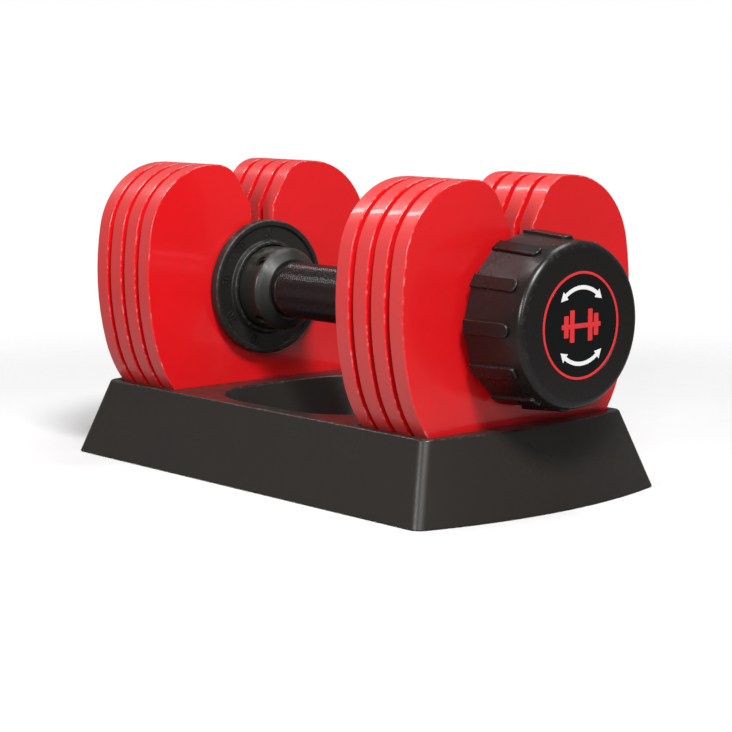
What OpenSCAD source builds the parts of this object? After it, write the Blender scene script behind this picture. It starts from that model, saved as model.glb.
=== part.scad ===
// Adjustable dumbbell: a handle with two turning selectors, four slotted
// weight plates at each end, and the stand that holds the plates upright.
// X runs along the handle, Y across it, Z up. The origin is on the floor,
// under the middle of the stand.

/* [Plates] */
// Thickness of one weight plate
plate_t = 12.05; // [8:0.05:18]
// Air gap between neighbouring plates, where a selector disc turns
plate_gap = 3.92; // [3.6:0.02:6]
// Half width of a plate at its widest
plate_half_w = 96.2; // [80:0.1:116]
// Height of a plate from its foot to the top of its lobes
plate_h = 182.1; // [150:0.1:220]
// Depth of a plate's widest place below the top of its lobes
plate_wide_drop = 74.6; // [64:0.1:90]
// Radius of the plate's long side
side_r = 180; // [155:1:216]
// Half width of the flat under the plate
foot_flat = 10.1; // [4:0.1:20]
// Width of the flat on top of each lobe
lobe_flat = 4.4; // [2:0.1:8]
// Depth of the straight slot's mouth below the top of the lobes
slot_mouth_drop = 29.1; // [22:0.1:34]
// Angle of the slot's funnel from level
funnel_angle = 60; // [50:1:70]
// Radius that rounds the funnel into the top of a lobe
funnel_r = 22; // [8:1:26]

/* [Handle] */
// Height of the handle's axis above the foot of the plates
axis_h = 97.6; // [85:0.1:115]
// Length of the grip that shows between the two collars
grip_l = 125; // [104:1:150]
// Outer radius of the grip
grip_r = 19; // [16.5:0.1:23]
// Wall of the bush that a selector shaft turns in
bush_wall = 2.5; // [2:0.1:3]
// Wall of the steel core outside the bushes
core_wall = 3; // [2.4:0.1:3.6]
// How far a collar stands out beyond the grip
boss_step = 9; // [7.5:0.1:11]
// Length of a collar, from its nose to its seat
boss_l = 24.5; // [20:0.1:30]
// How far a collar's nose stands out beyond the grip
nose_step = 2; // [1.5:0.1:3]

/* [Selector] */
// Outer radius of the dial that carries the weight figures
dial_r = 45.8; // [42:0.1:55]
// Thickness of the dial at its rim
dial_t = 6.8; // [5.6:0.1:9]
// Width across the flats of the hexagonal shaft
hex_af = 12; // [10:0.1:14.4]
// How far the shaft's round journal stands out beyond the hexagon's corners
journal_step = 1.07; // [0.8:0.01:1.3]
// Wall of the selector hubs outside the hexagon's corners
hub_wall = 1.97; // [1.6:0.01:2.4]
// Outer radius of a selector disc
disc_r = 31; // [26:0.1:38]
// Thickness of a selector disc's web
web_t = 1.4; // [1.2:0.05:1.6]
// Angle between two weight settings
step_angle = 40; // [36:1:42]

/* [Knob] */
// Radius of the knob at its open end
knob_r = 52.4; // [43.6:0.1:63]
// How much narrower the knob is just behind its front edge
knob_taper = 2.6; // [0:0.1:4]
// Length of the knob along the axis
knob_l = 44.5; // [37:0.1:54]
// Gap between the knob's ribs and the stand's deck
knob_over_deck = 9.5; // [4:0.1:14]
// Height of a grip rib above the knob's skirt
rib_h = 2; // [1:0.1:3]
// Width of a grip rib
rib_w = 8.6; // [6:0.1:11]
// Wall of the knob's skirt
knob_wall = 2.8; // [2.4:0.1:3.4]
// Radius of the round badge
badge_r = 32; // [26:0.1:34]

/* [Stand] */
// Height of the floor that the plates stand on
well_floor = 15.7; // [13:0.1:19]
// How far the stand's ends reach out beyond the plates, at the floor
stand_past_end = 34.5; // [29:0.1:42]
// How far the stand's sides reach out beyond the plates, at the floor
stand_past_side = 6.1; // [5:0.1:12]
// How far the walls lean in from the floor to the deck
lean = 17.4; // [14:0.1:18]
// Radius of the bowed ends
end_r = 330; // [275:1:500]
// Radius of the stand's corners
corner_r = 8; // [6:0.1:24]
// Wall of the stand
stand_wall = 3; // [2.4:0.1:3.6]
// Space between the hand pocket and the nearest plates, along the deck
pocket_to_plate = 21; // [17:0.1:26]
// Space between the hand pocket and the stand's side at the floor
pocket_to_side = 28.3; // [25:0.1:34]
// Radius of the hand pocket's corners at the deck
pocket_r = 48; // [30:0.1:57]
// Height of the pocket's floor
pocket_floor = 12; // [9:0.1:15]

/* [Hidden] */
$fn = 96;
plates = 4;
LEFT = -1;
RIGHT = 1;
eps = 0.01;

// Clearances
sit_gap = 0.3;       // a plate's foot above the floor of its well
well_clear = 1.3;    // plate edge to well wall
turn_gap = 0.5;      // collar face to dial
dial_clear = 0.7;    // dial to the first plate
slide_fit = 0.03;    // pieces that slide or turn in a bore, on the radius
seat_fit = 0.02;     // pieces fixed in a bore, on the radius
lug_gap = 0.4;       // lift lug to lip and web, and lip to plate
knob_gap = 1.1;      // last selector disc's gap to the knob
slot_clear = 0.5;    // hub to the wall of a plate slot

// Heights
plate_foot = well_floor + sit_gap;
axis_z = plate_foot + axis_h;
deck_h = axis_z - knob_r - rib_h - knob_over_deck;

// Stations along X on one side, counted out from the middle
x_nose = grip_l / 2;
x_seat = x_nose + boss_l;
x_dial = x_seat + turn_gap;
x_plate_1 = x_dial + dial_t + dial_clear;
pitch = plate_t + plate_gap;
x_stack_end = x_plate_1 + plates * pitch - plate_gap;
x_knob = x_stack_end + plate_gap + knob_gap;
x_face = x_knob + knob_l;
x_step = x_dial - 0.2;
x_shaft_end = x_face - 13;
knob_front_r = knob_r - knob_taper;
function plate_x(k) = x_plate_1 + (k - 1) * pitch;
function gap_x(k) = plate_x(k) + plate_t;

// Selector
hex_r = hex_af / 2 / cos(30);
journal_r = hex_r + journal_step;
hub_r = hex_r + hub_wall;
slot_half_w = hub_r + slot_clear;
lug_t = plate_gap - web_t - 2 * lug_gap;
web_off = lug_t + lug_gap;
lip_w = 3.5;
lip_in_r = disc_r - lip_w;
lip_out_r = disc_r - 0.3;
lug_out_r = lip_in_r - lug_gap;
lug_in_r = lug_out_r - 6;
lug_half_angle = 11;
lip_margin = 18;
rivet_r = 2.4;
rivet_angle = 6.2;
funnel_reach = slot_mouth_drop / tan(funnel_angle) + funnel_r * tan(funnel_angle / 2);

// Collar, core and detent
bush_r = journal_r + bush_wall;
core_r = bush_r + core_wall;
boss_r = grip_r + boss_step;
nose_r = grip_r + nose_step;
bush_l = boss_l - 2.5;
core_bore_depth = bush_l + 8;
screw_x = x_nose + 10;
screw_head_r = 3.9;
screw_head_h = 4;
screw_r = 2.5;
screw_sink = 1.2;
screw_tip_r = core_r - 2.2;
pin_r = 2.4;
pin_l = 7;
pin_at_r = core_r + 6.5;
pin_nose = 1.3;
track_depth = pin_nose - turn_gap + 0.3;
track_half_w = 3.2;
spring_r = 1.9;
spring_wire_r = 0.35;
spring_l = 6;
spring_turns = 6;
x_spring = x_seat + pin_nose - pin_l - spring_l;
ring_x = x_seat - bush_l - 0.75;
ring_t = 0.9;
ring_groove = 1;
ring_mouth = 7;

// Dial
rim_lip = 4;
rim_sink = 1.8;
ridge_r = boss_r + 0.6;
ridge_w = 2.9;
ridge_h = 2.5;

// Knob
knob_edge_r = 5;
face_t = 4.5;
badge_sink = 1.4;
ring_w = 1.6;
knob_boss_r = 15;
bolt_head_r = 6.5;
bolt_head_h = 7;
bolt_r = 4;
bolt_floor = 3;
bolt_grip = 18;
rib_reach = knob_l - 9.5;
ribs = 12;
weight_in = 2.5;

// Stand
foot_r = 8;
foot_h = 2.6;
stand_lift = 0.8;
plug_r = 3;
plug_h = 5;
comb_h = 14;
comb_clear = 0.6;
pocket_lean = 12;
stand_half_l = x_stack_end + stand_past_end;
stand_half_w = plate_half_w + stand_past_side;
pocket_half_l = x_plate_1 - pocket_to_plate;
pocket_half_w = stand_half_w - pocket_to_side;
foot_x = stand_half_l - 39.5;
foot_y = stand_half_w - 20.3;

// ---------- shared shapes ----------

// Points along an arc, from angle a0 to angle a1
function arc(c, r, a0, a1, n = 12) =
    [for (i = [0:n]) let (a = a0 + (a1 - a0) * i / n) c + r * [cos(a), sin(a)]];

function flip(points) = [for (i = [len(points) - 1:-1:0]) [-points[i][0], points[i][1]]];

// Turns the right-hand side's pieces round to the left-hand side
module on_side(s) {
    rotate([0, 0, s > 0 ? 0 : 180]) children();
}

// Extrudes an outline drawn as (Y, Z) along X
module along_x(x, l) {
    translate([x, 0, 0]) rotate([90, 0, 90]) linear_extrude(l) children();
}

// Spins an outline drawn as (radius, X) about the handle's axis
module spun() {
    translate([0, 0, axis_z]) rotate([90, 0, 90]) rotate_extrude() children();
}

// A round rod on the handle's axis
module rod(x, l, r) {
    translate([x, 0, axis_z]) rotate([0, 90, 0]) cylinder(r = r, h = l);
}

// The hexagonal shaft's section, as a bar on the handle's axis
module hex_bar(x, l, grow = 0) {
    translate([x, 0, axis_z]) rotate([0, 90, 0]) cylinder(r = hex_r + grow, h = l, $fn = 6);
}

// ---------- plates ----------

// Radius of the arc that runs on from the long side's arc into a level line,
// which it meets at distance y from the middle and rise from the widest place
function run_on_r(y, rise) =
    (pow(side_r, 2) - pow(y + side_r - plate_half_w, 2) - rise * rise) / 2 / (side_r - rise);

// Half of the plate's outer edge, from its foot up to the top of the lobe,
// as (Y, height above the foot), grown outwards by grow
function outer_edge(grow) = let (
        c = [plate_half_w - side_r, plate_h - plate_wide_drop],
        lobe_y = slot_half_w + funnel_reach + lobe_flat,
        top_r = run_on_r(lobe_y, plate_wide_drop),
        low_r = run_on_r(foot_flat, c[1]),
        top = [lobe_y, plate_h - top_r],
        low = [foot_flat, low_r],
        a_top = atan2(top[1] - c[1], top[0] - c[0]),
        a_low = atan2(low[1] - c[1], low[0] - c[0]))
    concat(
        arc(low, low_r + grow, -90, a_low, 18),
        arc(c, side_r + grow, a_low, a_top, 8),
        arc(top, top_r + grow, a_top, 90, 16));

// Half of the slot's edge, from the top of the lobe down to its round bottom
function slot_edge() = let (
        mouth = plate_h - slot_mouth_drop,
        c = [slot_half_w + funnel_reach, plate_h - funnel_r])
    concat(
        arc(c, funnel_r, 90, 90 + funnel_angle, 12),
        [[slot_half_w, mouth]],
        arc([0, axis_h], slot_half_w, 0, -90, 10));

function plate_points() = let (half = concat(outer_edge(0), slot_edge()))
    concat(half, [for (i = [len(half) - 2:-1:1]) [-half[i][0], half[i][1]]]);

// A ring sector centred on the handle's axis, in the (Y, Z) plane
module sector(r_in, r_out, a0, a1) {
    translate([0, axis_z]) polygon(concat(arc([0, 0], r_out, a0, a1, 24), arc([0, 0], r_in, a1, a0, 24)));
}

// Centres of a lift lug's two rivets
function rivet_at(side) = let (r = (lug_in_r + lug_out_r) / 2, a = -90 + side * rivet_angle)
    [r * cos(a), axis_z + r * sin(a)];

module plate(s, k) {
    color("#d8262b") on_side(s) along_x(plate_x(k), plate_t) difference() {
        translate([0, plate_foot]) polygon(plate_points());
        for (side = [-1, 1]) translate(rivet_at(side)) circle(r = rivet_r + seat_fit);
    }
}

// Steel lug riveted to a plate's outer face, which the selector disc lifts
module lift_lug(s, k) {
    color("#a8abb0") on_side(s) {
        along_x(gap_x(k), lug_t)
            sector(lug_in_r, lug_out_r, -90 - lug_half_angle, -90 + lug_half_angle);
        for (side = [-1, 1]) along_x(plate_x(k) + lug_gap, plate_t - lug_gap)
            translate(rivet_at(side)) circle(r = rivet_r);
    }
}

// ---------- selector ----------

module selector_shaft(s) {
    color("#b4b7bb") on_side(s) difference() {
        union() {
            rod(ring_x - 3, x_step - ring_x + 3, journal_r);
            hex_bar(x_step, x_shaft_end - x_step);
        }
        difference() {
            rod(ring_x - ring_t / 2 - 0.1, ring_t + 0.2, journal_r + 1);
            rod(ring_x - ring_t, 2 * ring_t, journal_r - ring_groove);
        }
        rod(x_shaft_end - bolt_grip - 1, bolt_grip + 2, bolt_r + seat_fit);
    }
}

// Split ring that keeps the shaft in its bush
module retaining_ring(s) {
    color("#6d7074") on_side(s) difference() {
        rod(ring_x - ring_t / 2, ring_t, bush_r - 0.6);
        rod(ring_x - ring_t, 2 * ring_t, journal_r - ring_groove + 0.06);
        translate([ring_x - ring_t, -ring_mouth / 2, axis_z - bush_r]) cube([2 * ring_t, ring_mouth, bush_r]);
    }
}

module weight_dial(s) {
    color("#232323") on_side(s) difference() {
        union() {
            spun() polygon([
                [0, x_dial], [ridge_r, x_dial], [ridge_r, x_dial - ridge_h],
                [ridge_r + ridge_w, x_dial - ridge_h], [ridge_r + ridge_w, x_dial + rim_sink - turn_gap],
                [dial_r - rim_lip, x_dial + rim_sink - turn_gap], [dial_r - rim_lip, x_dial - turn_gap],
                [dial_r - 1, x_dial - turn_gap], [dial_r, x_dial + 1 - turn_gap],
                [dial_r, x_dial + dial_t - 1], [dial_r - 1, x_dial + dial_t], [0, x_dial + dial_t],
            ]);
            rod(x_dial + dial_t - eps, gap_x(1) + web_off - x_dial - dial_t + eps, hub_r);
        }
        hex_bar(x_dial - 1, gap_x(1) - x_dial + plate_gap + 1, seat_fit);
        spun() translate([pin_at_r - track_half_w, x_dial - eps]) square([2 * track_half_w, track_depth]);
        for (i = [0:plates]) rotate_on_axis(i * step_angle)
            translate([x_dial + track_depth - eps, 0, axis_z + pin_at_r])
                rotate([0, 90, 0]) cylinder(r1 = pin_r, r2 = pin_r / 2, h = 1.2);
    }
}

module rotate_on_axis(a) {
    translate([0, 0, axis_z]) rotate([-a, 0, 0]) translate([0, 0, -axis_z]) children();
}

// Selector disc k: its lip reaches under plate k's lug at every setting that
// carries the plate, and is open at the lighter settings
module selector_disc(s, k) {
    last = k == plates;
    hub_end = last ? x_knob + weight_in : gap_x(k + 1) + web_off;
    color("#9b9ea3") on_side(s) difference() {
        union() {
            rod(gap_x(k) + web_off, web_t, disc_r);
            rod(gap_x(k) + web_off, hub_end - gap_x(k) - web_off, hub_r);
            along_x(gap_x(k) + lug_gap, web_off - lug_gap + eps)
                sector(lip_in_r, lip_out_r, -90 - step_angle * (plates - k) - lip_margin, -90 + lip_margin);
        }
        hex_bar(gap_x(k) - 1, pitch + plate_gap + 4, seat_fit);
    }
}

// ---------- knob ----------

// Cast core that gives the bare handle its weight
module knob_weight(s) {
    cavity_r = knob_front_r - knob_wall - 0.3;
    color("#4a4c50") on_side(s) difference() {
        rod(x_knob + weight_in, knob_l - face_t - weight_in - 0.3, cavity_r);
        rod(x_face - face_t - 8.3, 20, knob_boss_r + seat_fit);
        hex_bar(x_knob, knob_l, seat_fit);
    }
}

module knob_shell(s) {
    cavity_r = knob_front_r - knob_wall;
    color("#1f1f20") on_side(s) difference() {
        union() {
            spun() polygon(concat(
                [[0, x_knob], [knob_r, x_knob], [knob_front_r, x_face - knob_edge_r]],
                arc([knob_front_r - knob_edge_r, x_face - knob_edge_r], knob_edge_r, 0, 90, 8),
                [[0, x_face]]));
            intersection() {
                for (i = [0:ribs - 1]) rotate_on_axis(i * 360 / ribs) knob_rib();
                spun() polygon([[0, x_knob], [knob_r + rib_h, x_knob],
                    [knob_front_r + rib_h, x_face - knob_edge_r], [0, x_face - knob_edge_r]]);
            }
        }
        difference() {
            rod(x_knob - 1, knob_l - face_t + 1, cavity_r);
            rod(x_face - face_t - 8, 20, knob_boss_r);
        }
        rod(x_face - badge_sink, 5, badge_r + 0.3);
        rod(x_face - badge_sink - bolt_head_h - 0.4, 20, bolt_head_r + 0.3);
        rod(x_face - 20, 20, bolt_r + 0.1);
    }
}

// One grip rib, with a round front end, at the top of the knob
module knob_rib() {
    translate([x_knob, 0, axis_z + knob_front_r - knob_wall + 1])
        linear_extrude(knob_r + 2 * rib_h - knob_front_r + knob_wall) {
            translate([0, -rib_w / 2]) square([rib_reach - rib_w / 2, rib_w]);
            translate([rib_reach - rib_w / 2, 0]) circle(d = rib_w);
        }
}

module knob_bolt(s) {
    head_x = x_face - badge_sink - bolt_head_h - 0.2;
    color("#8e9196") on_side(s) difference() {
        union() {
            rod(head_x, bolt_head_h, bolt_head_r);
            rod(x_shaft_end - bolt_grip, head_x - x_shaft_end + bolt_grip + eps, bolt_r);
        }
        hex_socket(head_x + bolt_head_h, 4, 3.4);
    }
}

// Socket for a hexagonal key, cut back from station x along the axis
module hex_socket(x, depth, r) {
    translate([x - depth, 0, axis_z]) rotate([0, 90, 0]) cylinder(r = r, h = depth + 1, $fn = 6);
}

module badge_disc(s) {
    color("#0c0c0d") on_side(s) rod(x_face - badge_sink + 0.05, badge_sink - 0.25, badge_r - ring_w - 0.05);
}

module badge_ring(s) {
    color("#c62a2f") on_side(s) difference() {
        rod(x_face - badge_sink + 0.05, badge_sink - 0.15, badge_r);
        rod(x_face - badge_sink - 1, badge_sink + 5, badge_r - ring_w);
    }
}

// ---------- handle ----------

module core_bar() {
    reach = x_seat - 0.5;
    color("#9a9da1") difference() {
        rod(-reach, 2 * reach, core_r);
        for (s = [LEFT, RIGHT]) on_side(s) {
            rod(x_seat - core_bore_depth, core_bore_depth + 1, bush_r + seat_fit);
            for (a = [45:90:315]) rotate_on_axis(a)
                translate([screw_x, 0, axis_z]) cylinder(r = screw_r + seat_fit, h = core_r + 2);
        }
    }
}

module grip_sleeve() {
    reach = x_nose + 3;
    color("#161617") difference() {
        rod(-reach, 2 * reach, grip_r);
        rod(-reach - 1, 2 * reach + 2, core_r + seat_fit);
    }
}

module boss(s) {
    color("#262626") on_side(s) difference() {
        spun() polygon(concat(
            [[0, x_nose], [nose_r - 1, x_nose]],
            arc([nose_r - 1, x_nose + 1], 1, -90, -45, 3),
            arc([boss_r - 4, x_nose + 6.5], 4, -60, 0, 8),
            [[boss_r, x_seat], [0, x_seat]]));
        rod(x_nose - 1, 4.1, grip_r + seat_fit);
        rod(x_nose - 1, boss_l + 2, core_r + seat_fit);
        for (a = [45:90:315]) rotate_on_axis(a) translate([screw_x, 0, axis_z]) {
            cylinder(r = screw_r + 0.1, h = boss_r + 2);
            translate([0, 0, boss_r - screw_sink - screw_head_h]) cylinder(r = screw_head_r + 0.3, h = 10);
        }
        translate([x_spring - 0.05, 0, axis_z + pin_at_r]) rotate([0, 90, 0])
            cylinder(r = pin_r + slide_fit, h = x_seat - x_spring + 1);
    }
}

// Four socket screws that clamp a collar to the core
module boss_screws(s) {
    head_z = boss_r - screw_sink - screw_head_h + 0.05;
    color("#55575b") on_side(s) for (a = [45:90:315]) rotate_on_axis(a)
        translate([screw_x, 0, axis_z]) difference() {
            union() {
                translate([0, 0, screw_tip_r]) cylinder(r = screw_r, h = head_z - screw_tip_r + eps);
                translate([0, 0, head_z]) cylinder(r = screw_head_r, h = screw_head_h);
            }
            translate([0, 0, head_z + 1.5]) cylinder(r = 2.2, h = 5, $fn = 6);
        }
}

module bush(s) {
    color("#d9d4c4") on_side(s) difference() {
        rod(x_seat - bush_l, bush_l - 0.1, bush_r);
        rod(x_seat - bush_l - 1, bush_l + 2, journal_r + slide_fit);
    }
}

// Round-nosed pin that clicks into the dial's track
module detent_pin(s) {
    shoulder_x = x_seat + pin_nose - pin_r;
    color("#c9ccd0") on_side(s) translate([0, 0, axis_z + pin_at_r]) rotate([90, 0, 90]) rotate_extrude()
        polygon(concat([[0, x_spring + spring_l], [pin_r, x_spring + spring_l]],
            arc([0, shoulder_x], pin_r, 0, 90, 8)));
}

// Coil spring behind the detent pin, swept from a ring of wire sections
module detent_spring(s) {
    sides = 6;
    per_turn = 14;
    rings = spring_turns * per_turn;
    wire = [for (i = [0:rings]) for (j = [0:sides - 1]) let (
            t = i / per_turn,
            r = spring_r - spring_wire_r * cos(360 * j / sides))
        [x_spring + spring_wire_r * (1 + sin(360 * j / sides)) + (spring_l - 2 * spring_wire_r) * i / rings,
         r * cos(360 * t), r * sin(360 * t)]];
    walls = [for (i = [0:rings - 1]) for (j = [0:sides - 1])
        let (a = i * sides + j, b = i * sides + (j + 1) % sides) [a, b, b + sides, a + sides]];
    caps = [[for (j = [sides - 1:-1:0]) j], [for (j = [0:sides - 1]) rings * sides + j]];
    color("#8b8e93") on_side(s) translate([0, 0, axis_z + pin_at_r]) polyhedron(wire, concat(walls, caps));
}

// ---------- stand ----------

// The stand's plan: straight sides, bowed ends and round corners, drawn
// inside the floor outline by inset
function stand_plan(inset, r) = let (
        w = stand_half_w - inset,
        c = [stand_half_l - end_r, 0],
        k = [c[0] + sqrt(pow(end_r - inset - r, 2) - pow(w - r, 2)), w - r],
        a = atan2(k[1], k[0] - c[0]),
        quarter = concat(arc(c, end_r - inset, 0, a, 10), arc(k, r, a, 90, 8)))
    concat(quarter, flip(quarter), -1 * quarter, -1 * flip(quarter));

// A thin slice of the stand at height z
module stand_slice(z, inset) {
    up = (z - stand_lift) / (deck_h - stand_lift);
    translate([0, 0, z]) linear_extrude(eps) polygon(stand_plan(inset + lean * up, corner_r - inset));
}

// The stand's outer form between two heights, drawn in by inset
module stand_block(z0, z1, inset) {
    hull() {
        stand_slice(z0, inset);
        stand_slice(z1 - eps, inset);
    }
}

function pocket_plan(inset) = let (
        r = pocket_r - inset,
        quarter = arc([pocket_half_l - pocket_r, pocket_half_w - pocket_r], r, 0, 90, 12))
    concat(quarter, flip(quarter), -1 * quarter, -1 * flip(quarter));

// The hand pocket's form between two heights, grown outwards by grow
module pocket(grow, z0, z1) {
    hull() {
        translate([0, 0, z1]) linear_extrude(eps) polygon(pocket_plan(-grow));
        translate([0, 0, z0]) linear_extrude(eps) polygon(pocket_plan(pocket_lean - grow));
    }
}

// Room for one stack of plates, grown from the plates' own outline
module well(grow) {
    along_x(x_plate_1 - grow, x_stack_end - x_plate_1 + 2 * grow) translate([0, plate_foot])
        polygon(let (half = outer_edge(grow)) concat(half, [[0, plate_h + 50]], flip(half)));
}

// Ribs on the well's floor that stand between the plates
module comb() {
    for (k = [1:plates - 1]) along_x(gap_x(k) + comb_clear, plate_gap - 2 * comb_clear)
        translate([-stand_half_w / 2, well_floor - eps]) square([stand_half_w, comb_h]);
}

module base_tray() {
    color("#3b3836") difference() {
        union() {
            difference() {
                stand_block(stand_lift, deck_h, 0);
                stand_block(stand_lift - 1, deck_h - stand_wall, stand_wall);
            }
            intersection() {
                stand_block(stand_lift, deck_h, 0);
                union() {
                    for (s = [LEFT, RIGHT]) on_side(s) well(well_clear + stand_wall);
                    pocket(stand_wall, pocket_floor - stand_wall, deck_h);
                    for (x = [-foot_x, foot_x], y = [-foot_y, foot_y])
                        translate([x, y, foot_h + 0.02]) cylinder(r = foot_r, h = deck_h / 2);
                }
            }
        }
        for (s = [LEFT, RIGHT]) on_side(s) difference() {
            well(well_clear);
            translate([0, -stand_half_w, -10]) cube([x_face, 2 * stand_half_w, well_floor + 10]);
            comb();
        }
        pocket(0, pocket_floor, deck_h + eps);
        for (x = [-foot_x, foot_x], y = [-foot_y, foot_y])
            translate([x, y, 0]) cylinder(r = plug_r + 0.05, h = foot_h + plug_h + 0.3);
    }
}

// Four rubber feet, plugged into the stand's posts
module base_feet() {
    color("#191919") for (x = [-foot_x, foot_x], y = [-foot_y, foot_y]) translate([x, y, 0]) {
        cylinder(r = foot_r, h = foot_h);
        cylinder(r = plug_r, h = foot_h + plug_h);
    }
}

// ---------- nodes ----------

base_tray();
base_feet();
core_bar();
grip_sleeve();
for (s = [LEFT, RIGHT]) {
    end = s > 0 ? "_right" : "_left";
    boss(s);
    boss_screws(s);
    bush(s);
    detent_pin(s);
    detent_spring(s);
    selector_shaft(s);
    retaining_ring(s);
    weight_dial(s);
    knob_weight(s);
    knob_shell(s);
    knob_bolt(s);
    badge_disc(s);
    badge_ring(s);
    for (k = [1:plates]) {
        place = str(end, "_", k);
        selector_disc(s, k);
        plate(s, k);
        lift_lug(s, k);
    }
}
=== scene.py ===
"""Adjustable dumbbell on its stand: the visible meshes, their finishes and a plain studio.

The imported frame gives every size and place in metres: X runs along the handle, Y across it and Z up, with
the origin on the floor under the middle of the stand. Each class below is one sub-assembly. It takes its
sizes from the frame's nodes, builds its pieces, dresses them, and ties them to the body they move with.
Sizes that are written in this file are in millimetres and turned into metres by mm().
"""

from __future__ import annotations

import logging
import math
from contextlib import contextmanager
from dataclasses import dataclass, field
from enum import Enum
from typing import Callable, Iterator, Sequence

import bmesh
import bpy
from mathutils import Matrix, Vector


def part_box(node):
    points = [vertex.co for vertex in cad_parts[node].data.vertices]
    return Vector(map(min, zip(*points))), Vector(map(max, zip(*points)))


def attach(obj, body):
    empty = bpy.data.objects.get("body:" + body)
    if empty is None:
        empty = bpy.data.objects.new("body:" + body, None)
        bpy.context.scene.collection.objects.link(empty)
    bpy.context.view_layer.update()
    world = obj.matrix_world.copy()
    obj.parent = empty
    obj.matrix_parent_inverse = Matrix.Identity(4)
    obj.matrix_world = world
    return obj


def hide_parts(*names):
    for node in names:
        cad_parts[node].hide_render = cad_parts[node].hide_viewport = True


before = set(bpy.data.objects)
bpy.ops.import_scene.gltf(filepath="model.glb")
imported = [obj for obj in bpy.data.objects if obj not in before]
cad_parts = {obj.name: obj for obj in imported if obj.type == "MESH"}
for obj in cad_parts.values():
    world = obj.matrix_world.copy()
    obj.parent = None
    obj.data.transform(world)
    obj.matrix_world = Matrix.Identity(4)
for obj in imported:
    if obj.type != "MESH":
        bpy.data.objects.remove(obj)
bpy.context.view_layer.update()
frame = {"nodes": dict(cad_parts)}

LOG = logging.getLogger("dumbbell")
FULL_TURN = 2 * math.pi
QUARTER_TURN = math.pi / 2
PLATES_PER_SIDE = 4
ROUNDING = "rounding"
CLOSE_FIT_MM = 0.03
# Scale of the noise that breaks up the edge colour: scuffs, and on the plates a painted edge highlight.
WEAR_AND_GLINT_SCALE = 260.0
# Light grey laid on faces that look up: dust, and on the collars and dials also a painted grey sheen.
DUST_AND_SHEEN_COLOUR = (0.34, 0.32, 0.3, 1.0)
FLOOR_SIZE = 14.0

Colour = tuple[float, float, float]
Station = tuple[float, float]
Corner = tuple[float, float, float]
Shape = bpy.types.Object


def mm(length: float) -> float:
    """Turns millimetres into metres."""
    return length * 0.001


def in_mm(length: float) -> float:
    """Turns metres into millimetres."""
    return length * 1000


class Side(Enum):
    """The two ends of the dumbbell."""

    LEFT = "left"
    RIGHT = "right"

    def node(self, part: str, number: int | None = None) -> str:
        """Names this side's copy of a part, with its number where it has one."""
        return f"{part}_{self.value}" if number is None else f"{part}_{self.value}_{number}"


# ---------------------------------------------------------------- modelling tools


def only(piece: Shape) -> None:
    """Selects one piece and makes it the active one.

    Args:
        piece: the mesh object.
    """
    bpy.ops.object.select_all(action="DESELECT")
    piece.select_set(True)
    bpy.context.view_layer.objects.active = piece


@contextmanager
def editing(piece: Shape, kind: str = "FACE") -> Iterator[None]:
    """Opens a piece in edit mode with nothing selected, and closes it again.

    Args:
        piece: the mesh object to edit.
        kind: what is selected, VERT, EDGE or FACE.

    Yields:
        Nothing, while the piece is open.
    """
    only(piece)
    bpy.ops.object.mode_set(mode="EDIT")
    bpy.ops.mesh.select_mode(type=kind)
    bpy.ops.mesh.select_all(action="DESELECT")
    yield
    bpy.ops.object.mode_set(mode="OBJECT")


def pick_faces(piece: Shape, test: Callable[[Vector, Vector], bool]) -> None:
    """Selects the faces whose middle and normal pass a test.

    Args:
        piece: the mesh object, in edit mode.
        test: takes the face's middle and normal.
    """
    mesh = bmesh.from_edit_mesh(piece.data)
    found = [face for face in mesh.faces if test(face.calc_center_median(), face.normal)]
    for face in found:
        face.select_set(True)
    mesh.select_flush_mode()
    bmesh.update_edit_mesh(piece.data)


def pick_edges(piece: Shape, test: Callable[[Vector, Vector], bool], sharp: float | None = None) -> None:
    """Selects the edges whose two ends pass a test.

    Args:
        piece: the mesh object, in edit mode.
        test: takes the edge's two ends.
        sharp: the least angle between the two faces that meet at the edge, in degrees, or None for any.
    """
    mesh = bmesh.from_edit_mesh(piece.data)
    least = -1.0 if sharp is None else math.radians(sharp)
    found = [
        edge
        for edge in mesh.edges
        if test(edge.verts[0].co, edge.verts[1].co) and edge.calc_face_angle(0.0) > least
    ]
    for edge in found:
        edge.select_set(True)
    mesh.select_flush_mode()
    bmesh.update_edit_mesh(piece.data)


def fresh(name: str) -> Shape:
    """Names the primitive that was just added and puts its place into its mesh.

    Args:
        name: the new piece's name.

    Returns:
        The primitive.
    """
    piece = bpy.context.view_layer.objects.active
    piece.name = piece.data.name = name
    only(piece)
    bpy.ops.object.transform_apply(location=True, rotation=True, scale=True)
    return piece


def apply_modifier(piece: Shape, kind: str, **settings: object) -> None:
    """Adds a modifier, sets it and applies it.

    Args:
        piece: the mesh object.
        kind: the modifier's type, such as BEVEL.
        settings: the modifier's properties and their values.
    """
    only(piece)
    modifier = piece.modifiers.new(kind.title(), kind)
    for name, value in settings.items():
        setattr(modifier, name, value)
    bpy.ops.object.modifier_apply(modifier=modifier.name)


def mark_roundings(piece: Shape, least: float = 8.0, width: float = mm(0.8)) -> None:
    """Marks the faces of a piece's rounded edges, which is where its finish wears and, on the plates, where
    a painted edge highlight goes.

    Args:
        piece: the mesh object.
        least: the bend in degrees that two of a face's edges have to have.
        width: how wide such a face is at most.
    """
    with editing(piece):
        mesh = bmesh.from_edit_mesh(piece.data)
        mark = mesh.faces.layers.float.new(ROUNDING)
        for face in mesh.faces:
            bends = [edge.calc_face_angle_signed(0.0) > math.radians(least) for edge in face.edges]
            narrow = 2 * face.calc_area() < width * face.calc_perimeter()
            face[mark] = float(narrow and sum(bends) >= 2)
        bmesh.update_edit_mesh(piece.data)


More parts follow.
